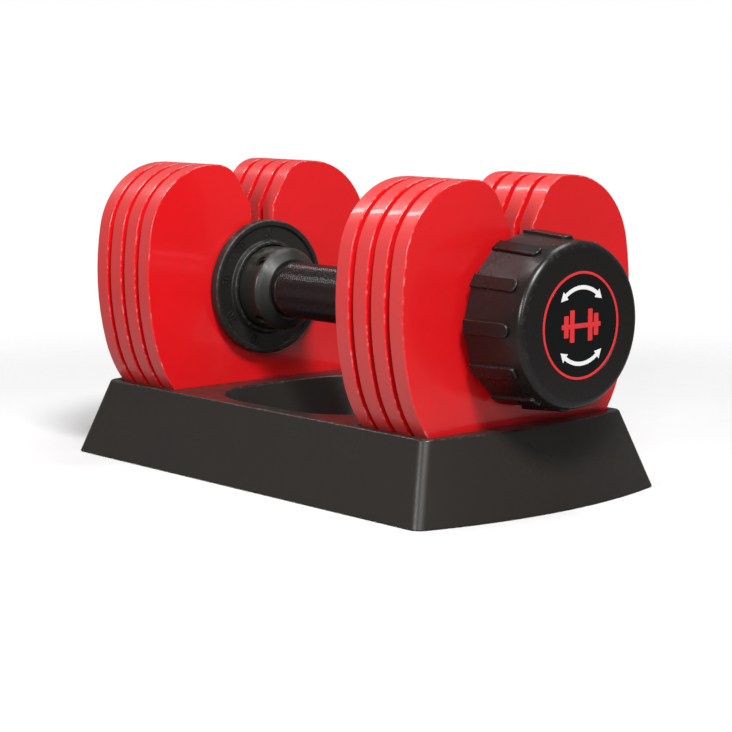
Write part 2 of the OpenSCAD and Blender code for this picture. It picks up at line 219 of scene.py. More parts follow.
def smooth(piece: Shape, angle: float = 32.0) -> Shape:
    """Marks a piece's roundings and shades it smooth up to an angle, with broad faces kept flat.

    Args:
        piece: the mesh object.
        angle: the bend in degrees past which an edge stays sharp.

    Returns:
        The same piece.
    """
    mark_roundings(piece)
    only(piece)
    bpy.ops.object.shade_smooth_by_angle(angle=math.radians(angle))
    apply_modifier(piece, "WEIGHTED_NORMAL", keep_sharp=True, weight=80)
    return piece


def face_outwards(piece: Shape) -> None:
    """Merges doubled corners and turns every face of a closed piece outwards.

    Args:
        piece: the mesh object.
    """
    with editing(piece):
        bpy.ops.mesh.select_all(action="SELECT")
        bpy.ops.mesh.remove_doubles(threshold=mm(0.002))
        bpy.ops.mesh.normals_make_consistent(inside=False)


def joined(name: str, pieces: Sequence[Shape]) -> Shape:
    """Joins pieces into one mesh under a new name.

    Args:
        name: the joined piece's name.
        pieces: what is joined.

    Returns:
        The joined piece.
    """
    bpy.ops.object.select_all(action="DESELECT")
    for piece in pieces:
        piece.select_set(True)
    bpy.context.view_layer.objects.active = pieces[0]
    bpy.ops.object.join()
    pieces[0].name = pieces[0].data.name = name
    return pieces[0]


def combine(piece: Shape, tool: Shape, operation: str) -> None:
    """Cuts, joins or intersects a piece with a tool shape, which is then removed."""
    apply_modifier(piece, "BOOLEAN", object=tool, operation=operation, solver="EXACT")
    bpy.data.objects.remove(tool)


def copied(piece: Shape, name: str, shift: Vector | None = None, half_turn: bool = False) -> Shape:
    """Copies a piece with a mesh of its own.

    Args:
        piece: the finished piece.
        name: the copy's name.
        shift: how far the copy is moved.
        half_turn: whether the copy is turned half round about the vertical axis, to the other end.

    Returns:
        The copy, with its place in its mesh.
    """
    twin = piece.copy()
    twin.data = piece.data.copy()
    twin.name = twin.data.name = name
    bpy.context.scene.collection.objects.link(twin)
    turn = Matrix.Rotation(math.pi, 4, "Z") if half_turn else Matrix.Identity(4)
    twin.matrix_world = Matrix.Translation(shift or Vector()) @ turn
    only(twin)
    bpy.ops.object.transform_apply(location=True, rotation=True, scale=True)
    return twin


def from_node(
    node: str, name: str, whole: Callable[[Vector, Vector], bool] = lambda centre, way: True
) -> Shape:
    """Copies a frame node's mesh as a start for a finer piece, with its flat faces made whole.

    Args:
        node: the frame node.
        name: the new piece's name.
        whole: tells by middle and normal which faces are made whole.

    Returns:
        The new piece.
    """
    piece = bpy.data.objects.new(name, frame["nodes"][node].data.copy())
    piece.data.name = name
    piece.data.materials.clear()
    bpy.context.scene.collection.objects.link(piece)
    only(piece)
    bpy.ops.mesh.customdata_custom_splitnormals_clear()
    with editing(piece):
        bpy.ops.mesh.select_all(action="SELECT")
        bpy.ops.mesh.remove_doubles(threshold=mm(0.02))
        bpy.ops.mesh.select_all(action="DESELECT")
        pick_faces(piece, whole)
        bpy.ops.mesh.dissolve_limited(angle_limit=math.radians(0.6))
    return piece


def rounded_section(corners: Sequence[Corner], steps: int = 4) -> list[Station]:
    """Rounds the corners of a closed section.

    Args:
        corners: place along X, radius and corner radius of each corner, in millimetres.
        steps: how many straight steps stand for one rounded corner.

    Returns:
        The section's stations as (place along X, radius), in metres.
    """
    stations: list[Station] = []
    for i, (x, r, rounding) in enumerate(corners):
        here = Vector((x, r))
        before, after = (Vector(corners[j][:2]) - here for j in (i - 1, (i + 1) % len(corners)))
        half = before.angle(after) / 2
        if rounding <= 0 or half > math.radians(89):
            stations.append((mm(x), mm(r)))
            continue
        centre = here + (before.normalized() + after.normalized()).normalized() * rounding / math.sin(half)
        first, last = (
            here + way.normalized() * (rounding / math.tan(half)) - centre
            for way in (before, after)
        )
        for step in range(steps + 1):
            point = centre + first.slerp(last, step / steps) * rounding
            stations.append((mm(point.x), mm(point.y)))
    return stations


def turned(name: str, stations: Sequence[Station], axis_z: float, sides: int = 96) -> Shape:
    """Turns a closed section on the handle's axis, by extruding and scaling a ring from station to station.

    Args:
        name: the piece's name.
        stations: (place along X, radius) of each ring, in order round the section.
        axis_z: height of the axis.
        sides: how many sides the ring has.

    Returns:
        The closed piece.
    """
    (x, r), *others = stations
    bpy.ops.object.select_all(action="DESELECT")
    bpy.ops.mesh.primitive_circle_add(
        vertices=sides, radius=r, location=(x, 0, axis_z), rotation=(0, QUARTER_TURN, 0)
    )
    piece = fresh(name)
    with editing(piece, "EDGE"):
        bpy.ops.mesh.select_all(action="SELECT")
        for next_x, next_r in [*others, stations[0]]:
            bpy.ops.mesh.extrude_edges_move(TRANSFORM_OT_translate={"value": (next_x - x, 0, 0)})
            if abs(next_r - r) > 1e-9:
                bpy.ops.transform.resize(
                    value=(1, next_r / r, next_r / r), center_override=(next_x, 0, axis_z)
                )
            x, r = next_x, next_r
    face_outwards(piece)
    return piece


def round_copies(piece: Shape, count: int, centre: Vector) -> None:
    """Repeats a piece's mesh round an axis along X, within the same piece.

    Args:
        piece: the mesh object.
        count: how many there are in the end.
        centre: a point on the axis.
    """
    with editing(piece):
        bpy.ops.mesh.select_all(action="SELECT")
        bpy.ops.mesh.spin(
            steps=count - 1,
            angle=FULL_TURN * (count - 1) / count,
            center=centre,
            axis=(1, 0, 0),
            dupli=True,
        )


def dress(piece: Shape, finish: Finish) -> None:
    """Gives a piece its finish.

    Args:
        piece: the mesh object.
        finish: its finish.
    """
    piece.data.materials.clear()
    piece.data.materials.append(finish.material())


def place(piece: Shape, finish: Finish, body: str, *nodes: str) -> None:
    """Dresses a new piece, ties it to its body and lets it stand for frame nodes.

    Args:
        piece: the mesh object.
        finish: its finish.
        body: the frame body it moves with.
        nodes: the frame nodes it stands for.
    """
    dress(piece, finish)
    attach(piece, body)
    if nodes:
        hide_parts(*nodes)


# ---------------------------------------------------------------- shader effects


class Sheet:
    """One node tree with short calls to add nodes, group sockets and links."""

    def __init__(self, tree: bpy.types.NodeTree) -> None:
        """Starts on an emptied node tree."""
        self.tree = tree
        self.tree.nodes.clear()

    def add(self, kind: str, settings: dict[str, object] | None = None, **inputs: object) -> bpy.types.Node:
        """Adds a node.

        Args:
            kind: the node's type without its ShaderNode prefix.
            settings: properties of the node itself.
            inputs: sockets by name, with _ for a space, each given a value or another node's socket.

        Returns:
            The new node.
        """
        node = self.tree.nodes.new("ShaderNode" + kind)
        for key, value in (settings or {}).items():
            setattr(node, key, value)
        for key, value in inputs.items():
            self.feed(node.inputs[key.replace("_", " ")], value)
        return node

    def feed(self, socket: bpy.types.NodeSocket, value: object) -> None:
        """Links a socket to another one or sets its value.

        Args:
            socket: the input socket.
            value: a number, a colour or another node's socket.
        """
        if isinstance(value, bpy.types.NodeSocket):
            self.tree.links.new(value, socket)
        else:
            socket.default_value = value

    def maths(self, operation: str, *values: object, clamp: bool = False) -> bpy.types.NodeSocket:
        """Adds a maths node.

        Args:
            operation: the node's operation.
            values: its inputs in order.
            clamp: whether the result is kept from 0 to 1.

        Returns:
            The result.
        """
        node = self.add("Math", {"operation": operation, "use_clamp": clamp})
        for socket, value in zip(node.inputs, values):
            self.feed(socket, value)
        return node.outputs[0]

    def ramp(self, value: object, low: float, high: float, smooth_step: bool = True) -> bpy.types.NodeSocket:
        """Spreads the range from low to high over 0 to 1.

        Args:
            value: what is spread.
            low: what becomes 0.
            high: what becomes 1.
            smooth_step: whether the ends are eased.

        Returns:
            The spread value.
        """
        kind = "SMOOTHSTEP" if smooth_step else "LINEAR"
        node = self.add("MapRange", {"interpolation_type": kind, "clamp": True})
        for name, given in (("Value", value), ("From Min", low), ("From Max", high)):
            self.feed(node.inputs[name], given)
        return node.outputs["Result"]

    def mix(self, share: object, one: object, other: object) -> bpy.types.NodeSocket:
        """Mixes two colours by a share.

        Args:
            share: how much of the other colour there is.
            one: the first colour.
            other: the other colour.

        Returns:
            The mixed colour.
        """
        node = self.add("Mix", {"data_type": "RGBA"})
        colours = [socket for socket in node.inputs if socket.type == "RGBA"]
        self.feed(node.inputs[0], share)
        self.feed(colours[0], one)
        self.feed(colours[1], other)
        return next(socket for socket in node.outputs if socket.type == "RGBA")

    def noise(self, place_on: object, scale: object, detail: float = 3.0) -> bpy.types.NodeSocket:
        """Adds a noise pattern and returns its value."""
        node = self.add("TexNoise", Vector=place_on, Scale=scale, Detail=detail)
        return node.outputs[0]


class Effect(Enum):
    """Shader groups that several finishes share, by the name of the group."""

    # Scuffed edges, and on the plates a painted edge highlight.
    EDGE_WEAR = "edge_wear"
    MOTTLE = "mottle"
    GRAIN = "grain"
    # Dust on faces that look up, partly a painted grey sheen on the collars and dials.
    DUST = "dust"
    TURNING = "turning"
    RIM = "rim"


def new_group(
    effect: Effect, inputs: dict[str, float], outputs: Sequence[str]
) -> tuple[Sheet, bpy.types.Node]:
    """Starts a shader group with float sockets.

    Args:
        effect: which effect the group is.
        inputs: each input's name and usual value.
        outputs: each output's name.

    Returns:
        The sheet and its group input node.
    """
    tree = bpy.data.node_groups.new(effect.value, "ShaderNodeTree")
    for name, value in inputs.items():
        tree.interface.new_socket(name, in_out="INPUT", socket_type="NodeSocketFloat").default_value = value
    for name in outputs:
        tree.interface.new_socket(name, in_out="OUTPUT", socket_type="NodeSocketFloat")
    sheet = Sheet(tree)
    return sheet, tree.nodes.new("NodeGroupInput")


def close_group(sheet: Sheet, *values: bpy.types.NodeSocket) -> bpy.types.NodeTree:
    """Feeds a group's outputs in order.

    Args:
        sheet: the group's sheet.
        values: what each output puts out.

    Returns:
        The group.
    """
    out = sheet.tree.nodes.new("NodeGroupOutput")
    for socket, value in zip(out.inputs, values):
        sheet.feed(socket, value)
    return sheet.tree


def edge_wear() -> bpy.types.NodeTree:
    """Builds the mask of the rounded edges that the model marks, broken up by noise: scuffed edges, and on
    the plates a painted edge highlight.

    Returns:
        The shader group.
    """
    sheet, given = new_group(Effect.EDGE_WEAR, {"Scale": 300.0}, ["Mask"])
    point = sheet.add("TexCoord").outputs["Object"]
    edge = sheet.add("Attribute", {"attribute_name": ROUNDING}).outputs["Fac"]
    chips = sheet.ramp(sheet.noise(point, given.outputs["Scale"], 5.0), 0.5, 0.72)
    return close_group(sheet, sheet.maths("MULTIPLY", edge, chips))


def mottle() -> bpy.types.NodeTree:
    """Builds the soft blotches that vary a colour or a gloss.

    Returns:
        The shader group.
    """
    sheet, given = new_group(Effect.MOTTLE, {"Scale": 30.0}, ["Mask"])
    point = sheet.add("TexCoord").outputs["Object"]
    broad = sheet.noise(point, given.outputs["Scale"], 4.0)
    fine = sheet.noise(point, sheet.maths("MULTIPLY", given.outputs["Scale"], 7.0), 2.0)
    both = sheet.maths("ADD", broad, sheet.maths("MULTIPLY", fine, 0.35))
    return close_group(sheet, sheet.ramp(both, 0.45, 0.9))


def grain() -> bpy.types.NodeTree:
    """Builds the fine relief of a moulded, cast or sprayed surface.

    Returns:
        The shader group.
    """
    sheet, given = new_group(Effect.GRAIN, {"Scale": 900.0, "Roundness": 0.5}, ["Height"])
    point = sheet.add("TexCoord").outputs["Object"]
    cells = sheet.add("TexVoronoi", {"feature": "SMOOTH_F1"}, Vector=point, Scale=given.outputs["Scale"])
    specks = sheet.noise(point, given.outputs["Scale"], 3.0)
    pebbles = sheet.maths("SUBTRACT", 1.0, cells.outputs["Distance"])
    blend = sheet.add("Mix", {"data_type": "FLOAT"})
    floats = [socket for socket in blend.inputs if socket.type == "VALUE"]
    for socket, value in zip(floats, (given.outputs["Roundness"], specks, pebbles)):
        sheet.feed(socket, value)
    return close_group(sheet, next(socket for socket in blend.outputs if socket.type == "VALUE"))


def dust() -> bpy.types.NodeTree:
    """Builds the mask of thin dust on faces that look up, which on the collars and dials is partly a painted
    grey sheen.

    Returns:
        The shader group.
    """
    sheet, given = new_group(Effect.DUST, {"Amount": 0.3}, ["Mask"])
    coords = sheet.add("TexCoord")
    up = sheet.add("SeparateXYZ", Vector=coords.outputs["Normal"]).outputs["Z"]
    specks = sheet.ramp(sheet.noise(coords.outputs["Object"], 160.0, 6.0), 0.35, 0.75)
    lying = sheet.maths("MULTIPLY", sheet.ramp(up, 0.3, 1.0), specks)
    return close_group(sheet, sheet.maths("MULTIPLY", lying, given.outputs["Amount"]))


def turning() -> bpy.types.NodeTree:
    """Builds the fine rings that a lathe leaves round the handle's axis.

    Returns:
        The shader group.
    """
    sheet, given = new_group(Effect.TURNING, {"Scale": 900.0}, ["Height"])
    point = sheet.add("TexCoord").outputs["Object"]
    stretched = sheet.add("Mapping", Vector=point)
    stretched.inputs["Scale"].default_value = (1.0, 0.02, 0.02)
    return close_group(sheet, sheet.noise(stretched.outputs["Vector"], given.outputs["Scale"], 2.0))


def rim() -> bpy.types.NodeTree:
    """Builds the mask of a plate's narrow sides, which look away from the handle's axis.

    Returns:
        The shader group.
    """
    sheet, _ = new_group(Effect.RIM, {}, ["Mask"])
    normal = sheet.add("TexCoord").outputs["Normal"]
    along = sheet.maths("ABSOLUTE", sheet.add("SeparateXYZ", Vector=normal).outputs["X"])
    return close_group(sheet, sheet.maths("SUBTRACT", 1.0, sheet.ramp(along, 0.15, 0.6)))


GROUP_MAKERS: dict[Effect, Callable[[], bpy.types.NodeTree]] = {
    Effect.EDGE_WEAR: edge_wear,
    Effect.MOTTLE: mottle,
    Effect.GRAIN: grain,
    Effect.DUST: dust,
    Effect.TURNING: turning,
    Effect.RIM: rim,
}


def effect_node(sheet: Sheet, effect: Effect, **inputs: float) -> bpy.types.NodeSocket:
    """Places a shared effect in a material and returns its output.

    Args:
        sheet: the material's sheet.
        effect: which effect.
        inputs: the effect's own values.

    Returns:
        The effect's output.
    """
    group = sheet.add("Group")
    group.node_tree = bpy.data.node_groups.get(effect.value) or GROUP_MAKERS[effect]()
    for name, value in inputs.items():
        group.inputs[name].default_value = value
    return group.outputs[0]


# ---------------------------------------------------------------- finishes


@dataclass(frozen=True)
class Finish:
    """One surface finish.

    Attributes:
        slot: the name that the material is named after, with _finish added.
        colour: base colour, linear.
        roughness: roughness where the surface is cleanest.
        dull: how much rougher the blotches are.
        shade: how much darker the blotches are.
        blotch: scale of the blotches, per metre.
        metallic: 1 on bare metal.
        specular: specular level.
        coat: weight of a clear coat.
        coat_roughness: roughness of the clear coat.
        grain_scale: scale of the fine relief, per metre.
        grain_mm: height of the fine relief in millimetres.
        roundness: 0 for a specked relief and 1 for a pebbled one.
        worn: colour that shows on scuffed edges; on the plates a pale pink, partly chipped enamel and partly
            a painted edge highlight.
        wear: share of that colour on the rounded edges.
        dust: share of the light grey on faces that look up: dust, and on the collars and dials partly a
            painted sheen.
    """

    slot: str
    colour: Colour
    roughness: float
    dull: float = 0.1
    shade: float = 0.15
    blotch: float = 30.0
    metallic: float = 0.0
    specular: float = 0.5
    coat: float = 0.0
    coat_roughness: float = 0.1
    grain_scale: float = 1500.0
    grain_mm: float = 0.02
    roundness: float = 0.5
    worn: Colour = (0.2, 0.2, 0.2)
    wear: float = 0.0
    dust: float = 0.0

    def material(self) -> bpy.types.Material:
        """Gives this finish's material, built at its first use.

        Returns:
            The material.
        """
        name = self.slot + "_finish"
        made = bpy.data.materials.get(name)
        if made is not None:
            return made
        made = bpy.data.materials.new(name)
        made.use_nodes = True
        made.diffuse_color = (*self.colour, 1.0)
        sheet = Sheet(made.node_tree)
        patches = effect_node(sheet, Effect.MOTTLE, Scale=self.blotch)
        colour = self.colouring(sheet, patches)
        roughness = self.gloss(sheet, patches)
        shader = sheet.add("BsdfPrincipled", Base_Color=colour, Roughness=roughness)
        shader.inputs["Metallic"].default_value = self.metallic
        shader.inputs["Specular IOR Level"].default_value = self.specular
        shader.inputs["Coat Weight"].default_value = self.coat
        shader.inputs["Coat Roughness"].default_value = self.coat_roughness
        bump = sheet.add("Bump", Height=self.relief(sheet), Strength=1.0, Distance=mm(self.grain_mm))
        sheet.feed(shader.inputs["Normal"], bump.outputs["Normal"])
        sheet.add("OutputMaterial", Surface=shader.outputs["BSDF"])
        return made

    def colouring(self, sheet: Sheet, patches: bpy.types.NodeSocket) -> bpy.types.NodeSocket:
        """Builds the colour: blotches, scuffed edges with a painted edge highlight on the plates, and dust
        with a painted grey sheen on the collars and dials, over the base colour.

        Args:
            sheet: the material's sheet.
            patches: the mask of the blotches.

        Returns:
            The colour.
        """
        darker = tuple(channel * (1 - self.shade) for channel in self.colour)
        colour = sheet.mix(patches, (*self.colour, 1.0), (*darker, 1.0))
        # Edge colour: scuffs, and on the plates a painted highlight along the rounded edges.
        if self.wear > 0:
            mask = effect_node(sheet, Effect.EDGE_WEAR, Scale=WEAR_AND_GLINT_SCALE)
            colour = sheet.mix(sheet.maths("MULTIPLY", mask, self.wear), colour, (*self.worn, 1.0))
        # Light grey on faces that look up: dust, and on the collars and dials a painted grey sheen.
        if self.dust > 0:
            mask = effect_node(sheet, Effect.DUST, Amount=self.dust)
            colour = sheet.mix(mask, colour, DUST_AND_SHEEN_COLOUR)
        return colour

    def gloss(self, sheet: Sheet, patches: bpy.types.NodeSocket) -> bpy.types.NodeSocket:
        """Builds the roughness, which is higher on the blotches."""
        return sheet.maths("MULTIPLY_ADD", patches, self.dull, self.roughness, clamp=True)

    def relief(self, sheet: Sheet) -> bpy.types.NodeSocket:
        """Builds the height of the fine relief."""
        return effect_node(sheet, Effect.GRAIN, Scale=self.grain_scale, Roundness=self.roundness)


@dataclass(frozen=True)
class Enamel(Finish):
    """Sprayed enamel on cast plates, whose narrow sides are paler and duller.

    Attributes:
        rim_colour: colour of the narrow sides.
        rim_dull: how much rougher the narrow sides are.
    """

    rim_colour: Colour = (0.6, 0.05, 0.05)
    rim_dull: float = 0.15

    def colouring(self, sheet: Sheet, patches: bpy.types.NodeSocket) -> bpy.types.NodeSocket:
        """Builds the colour, with the rim's own tone on the narrow sides."""
        colour = super().colouring(sheet, patches)
        return sheet.mix(effect_node(sheet, Effect.RIM), colour, (*self.rim_colour, 1.0))

    def gloss(self, sheet: Sheet, patches: bpy.types.NodeSocket) -> bpy.types.NodeSocket:
        """Builds the roughness, which is higher on the narrow sides."""
        face = super().gloss(sheet, patches)
        return sheet.maths("MULTIPLY_ADD", effect_node(sheet, Effect.RIM), self.rim_dull, face, clamp=True)


@dataclass(frozen=True)
class TurnedSteel(Finish):
    """Steel with the rings of a lathe round the handle's axis."""

    def relief(self, sheet: Sheet) -> bpy.types.NodeSocket:
        """Builds the height of the lathe's rings."""
        return effect_node(sheet, Effect.TURNING, Scale=self.grain_scale)


STAND_PLASTIC = Finish(
    "stand_plastic", (0.018, 0.0155, 0.0135), 0.27, dull=0.14, shade=0.2, specular=0.36,
    grain_scale=1400.0, grain_mm=0.006, worn=(0.1, 0.095, 0.09), wear=0.3, dust=0.03,
)
FOOT_RUBBER = Finish("foot_rubber", (0.018, 0.018, 0.018), 0.8, grain_scale=1800.0, grain_mm=0.04)
GRIP_RUBBER = Finish(
    "grip_rubber", (0.006, 0.004, 0.004), 0.2, dull=0.08, specular=0.5, grain_scale=2600.0, grain_mm=0.002,
)
# Its higher dust share is partly a painted grey sheen on the upward faces of the collars and dials.
COLLAR_PLASTIC = Finish(
    "collar_plastic", (0.014, 0.014, 0.012), 0.3, dull=0.28, shade=0.45, blotch=45.0, specular=0.45,
    grain_scale=1300.0, grain_mm=0.008, worn=(0.1, 0.095, 0.09), wear=0.4, dust=0.12,
)
KNOB_PLASTIC = Finish(
    "knob_plastic", (0.008, 0.0065, 0.006), 0.24, dull=0.12, shade=0.25, specular=0.36,
    grain_scale=1500.0, grain_mm=0.005, worn=(0.05, 0.047, 0.045), wear=0.25, dust=0.02,
)
BUSH_PLASTIC = Finish("bush_plastic", (0.7, 0.67, 0.58), 0.45, dull=0.1, grain_scale=900.0, grain_mm=0.01)
BADGE_BLACK = Finish(
    "badge_black", (0.003, 0.004, 0.004), 0.12, dull=0.05, shade=0.2, specular=0.3,
    grain_scale=500.0, grain_mm=0.002,
)
BADGE_RED = Finish(
    "badge_red", (0.72, 0.03, 0.035), 0.3, dull=0.08, shade=0.1, grain_scale=900.0, grain_mm=0.004,
)
BADGE_WHITE = Finish(
    "badge_white", (0.84, 0.84, 0.83), 0.4, dull=0.08, shade=0.06, grain_scale=900.0, grain_mm=0.004,
)
CORE_STEEL = TurnedSteel(
    "core_steel", (0.55, 0.56, 0.57), 0.3, metallic=1.0, grain_scale=2500.0, grain_mm=0.006,
)
BRIGHT_STEEL = TurnedSteel(
    "bright_steel", (0.72, 0.73, 0.74), 0.16, metallic=1.0, grain_scale=3000.0, grain_mm=0.003,
)
SPRING_STEEL = Finish(
    "spring_steel", (0.4, 0.41, 0.42), 0.3, metallic=1.0, grain_scale=2500.0, grain_mm=0.004,
)
SCREW_STEEL = Finish(
    "screw_steel", (0.07, 0.07, 0.072), 0.35, metallic=1.0, grain_scale=1500.0, grain_mm=0.01,
)
DISC_STEEL = TurnedSteel(
    "disc_steel", (0.5, 0.51, 0.52), 0.32, metallic=1.0, grain_scale=2200.0, grain_mm=0.006,
)
CAST_IRON = Finish("cast_iron", (0.08, 0.08, 0.085), 0.6, metallic=0.6, grain_scale=700.0, grain_mm=0.12)
# The pale pink on the rounded edges is partly chipped enamel and partly a painted edge highlight.
PLATE_ENAMEL = Enamel(
    "plate_enamel", (0.68, 0.008, 0.011), 0.17, dull=0.1, shade=0.08, blotch=12.0, specular=0.4,
    coat=0.25, coat_roughness=0.05,
    grain_scale=500.0, grain_mm=0.003, roundness=0.3, worn=(0.8, 0.4, 0.38), wear=0.3,
    rim_colour=(0.5, 0.035, 0.035), rim_dull=0.12,
)


# ---------------------------------------------------------------- stand


@dataclass
class Stand:
    """The moulded stand with its wells, hand pocket and feet.

    Attributes:
        edge_round: rounding of the moulding's edges.
        foot_edge: height below which the edges stay crisp.
        body: the frame body that the stand is.
    """

    edge_round: float = mm(1.2)
    foot_edge: float = mm(2.0)
    body: str = "stand"

    def build(self) -> None:
        """Builds the tray with rounded edges and dresses its feet."""
        tray = from_node("base_tray", "tray", lambda centre, way: way.z > -0.9)
        with editing(tray, "EDGE"):
            pick_edges(tray, lambda a, b: min(a.z, b.z) > self.foot_edge, sharp=40)
            bpy.ops.mesh.bevel(offset=self.edge_round, segments=3, profile=0.5, clamp_overlap=False)
        smooth(tray)
        place(tray, STAND_PLASTIC, self.body, "base_tray")
        dress(frame["nodes"]["base_feet"], FOOT_RUBBER)


# ---------------------------------------------------------------- plates


@dataclass
class PlateStack:
    """The four slotted plates of one end, with their lift lugs.

    Attributes:
        side: which end.
        edge_round: rounding of a plate's edges.
    """

    side: Side
    edge_round: float = mm(0.9)

    def build(self) -> None:
        """Models the first plate, copies it to its places and dresses the lugs."""
        first = self.first_plate()
        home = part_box(self.side.node("plate", 1))[0]
        for number in range(PLATES_PER_SIDE, 0, -1):
            node = self.side.node("plate", number)
            plate = first if number == 1 else copied(first, "slotted_" + node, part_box(node)[0] - home)
            place(plate, PLATE_ENAMEL, node, node)
            dress(frame["nodes"][self.side.node("lift_lug", number)], DISC_STEEL)

    def first_plate(self) -> Shape:
        """Rounds the edges of the first plate's outline and slot.

        Returns:
            The plate.
        """
        node = self.side.node("plate", 1)
        plate = from_node(node, "slotted_" + node)
        low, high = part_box(self.side.node("lift_lug", 1))

        def at_lug(point: Vector) -> bool:
            """Tells whether a point lies where the lift lug is riveted on."""
            return low.y <= point.y <= high.y and low.z <= point.z <= high.z

        with editing(plate, "EDGE"):
            pick_edges(plate, lambda a, b: not (at_lug(a) or at_lug(b)), sharp=60)
            bpy.ops.mesh.bevel(offset=self.edge_round, segments=3, profile=0.5, clamp_overlap=False)
        return smooth(plate)


# ---------------------------------------------------------------- handle


@dataclass
class Handle:
    """The grip, its two collars and what they hold.

    Attributes:
        body: the frame body that the handle is.
        knurl_pitch: distance from one knurl point to the next.
        knurl_height: height of a knurl point.
        plain_end: smooth length of grip beside each collar.
        axis_z: height of the handle's axis.
        grip_r: radius of the grip.
        core_r: radius of the core bar.
    """

    body: str = "handle"
    knurl_pitch: float = mm(2.0)
    knurl_height: float = mm(0.28)
    plain_end: float = mm(4.0)
    axis_z: float = field(init=False)
    grip_r: float = field(init=False)
    core_r: float = field(init=False)

    def __post_init__(self) -> None:
        """Takes the handle's sizes from the frame."""
        low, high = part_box("grip_sleeve")
        self.axis_z = (low.z + high.z) / 2
        self.grip_r = (high.z - low.z) / 2
        core_low, core_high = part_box("core_bar")
        self.core_r = (core_high.z - core_low.z) / 2

    def build(self) -> None:
        """Builds the grip and the collars, and dresses the rest."""
        place(self.grip(), GRIP_RUBBER, self.body, "grip_sleeve")
        right = self.collar()
        left = copied(right, "collar_left", half_turn=True)
        place(right, COLLAR_PLASTIC, self.body, "boss_right")
        place(left, COLLAR_PLASTIC, self.body, "boss_left")
        nodes = frame["nodes"]
        dress(nodes["core_bar"], CORE_STEEL)
        for side in Side:
            dress(nodes[side.node("boss_screws")], SCREW_STEEL)
            dress(nodes[side.node("bush")], BUSH_PLASTIC)
            dress(nodes[side.node("detent_spring")], SPRING_STEEL)
            dress(nodes[side.node("detent_pin")], BRIGHT_STEEL)

    def grip(self) -> Shape:
        """Models the sleeve as rings one pitch apart, then raises a knurl point on each diamond.

        Returns:
            The sleeve.
        """
        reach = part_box("grip_sleeve")[1].x
        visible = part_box("boss_right")[0].x
        knurled = visible - self.plain_end
        rows = round(2 * knurled / self.knurl_pitch)
        sides = round(FULL_TURN * self.grip_r / self.knurl_pitch / 2) * 2
        valley_r = self.grip_r - self.knurl_height
        bore_r = self.core_r + mm(CLOSE_FIT_MM)
        stations: list[Station] = [
            (-reach, bore_r), (-reach, self.grip_r), (-knurled - mm(0.6), self.grip_r),
            *[(-knurled + 2 * knurled * row / rows, valley_r) for row in range(rows + 1)],
            (knurled + mm(0.6), self.grip_r), (reach, self.grip_r), (reach, bore_r),
        ]
        sleeve = turned("grip", stations, self.axis_z, sides)
        row_length = 2 * knurled / rows

        def inside(point: Vector) -> bool:
            """Tells whether a point lies on the knurled part of the sleeve's outside."""
            radius = math.hypot(point.y, point.z - self.axis_z)
            return abs(point.x) < knurled - mm(0.05) and radius > self.core_r + mm(1)

        with editing(sleeve):
            pick_faces(sleeve, lambda middle, normal: inside(middle))
            bpy.ops.mesh.poke()
        with editing(sleeve, "EDGE"):
            pick_edges(
                sleeve,
                lambda a, b: (inside(a) and inside(b) or inside((a + b) / 2))
                and (abs(abs(a.x - b.x) - row_length) < mm(0.02) or abs(a.x - b.x) < mm(0.02)),
            )
            bpy.ops.mesh.dissolve_edges(use_verts=False)
        with editing(sleeve):
            pick_faces(sleeve, lambda middle, normal: inside(middle))
            bpy.ops.mesh.poke(offset=self.knurl_height)
        only(sleeve)
        bpy.ops.object.shade_smooth_by_angle(angle=math.radians(12))
        return sleeve

    def collar(self) -> Shape:
        """Turns the right collar and bores its screw holes and its detent hole.

        Returns:
            The collar.
        """
        low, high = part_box("boss_right")
        nose, seat, rim = in_mm(low.x), in_mm(high.x), in_mm(high.z - low.z) / 2
        sleeve, bore = in_mm(self.grip_r) + 0.05, in_mm(self.core_r) + CLOSE_FIT_MM
        sleeve_end = nose + 4.1
        collar = turned(
            "collar_right",
            rounded_section([
                (nose, sleeve, 0.2), (nose, sleeve + 1.6, 0.7), (nose + 3.6, rim - 2.4, 1.6),
                (nose + 6.2, rim, 3.0), (seat, rim, 0.5), (seat, bore, 0), (sleeve_end, bore, 0),
                (sleeve_end, sleeve, 0),
            ]),
            self.axis_z,
        )
        combine(collar, self.screw_bores(), "DIFFERENCE")
        combine(collar, self.detent_bore(), "DIFFERENCE")
        return smooth(collar)

    def screw_bores(self) -> Shape:
        """Makes the stepped bores for the four clamping screws of the right collar.

        Returns:
            The four bores, as one tool.
        """
        low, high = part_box("boss_screws_right")
        middle = (low.x + high.x) / 2
        head_r = (high.x - low.x) / 2
        bore_r, shank_r = head_r + mm(0.3), mm(2.6)
        head_l, bore_l, shank_l, play = mm(4.2), mm(12), mm(16), mm(0.05)
        reach = Vector((0, high.y, high.z - self.axis_z)).length
        bpy.ops.object.select_all(action="DESELECT")
        bpy.ops.mesh.primitive_cylinder_add(
            vertices=40, radius=bore_r, depth=bore_l,
            location=(middle, 0, self.axis_z + reach - head_l + bore_l / 2 - play),
        )
        bores = fresh("bores")
        with editing(bores):
            pick_faces(bores, lambda centre, normal: normal.z < -0.9)
            bpy.ops.mesh.inset(thickness=bore_r - shank_r)
            bpy.ops.mesh.extrude_region_move(TRANSFORM_OT_translate={"value": (0, 0, -shank_l)})
            bpy.ops.mesh.select_all(action="SELECT")
            bpy.ops.transform.rotate(
                value=math.radians(45), orient_axis="X", center_override=(middle, 0, self.axis_z)
            )
        round_copies(bores, 4, Vector((middle, 0, self.axis_z)))
        return bores

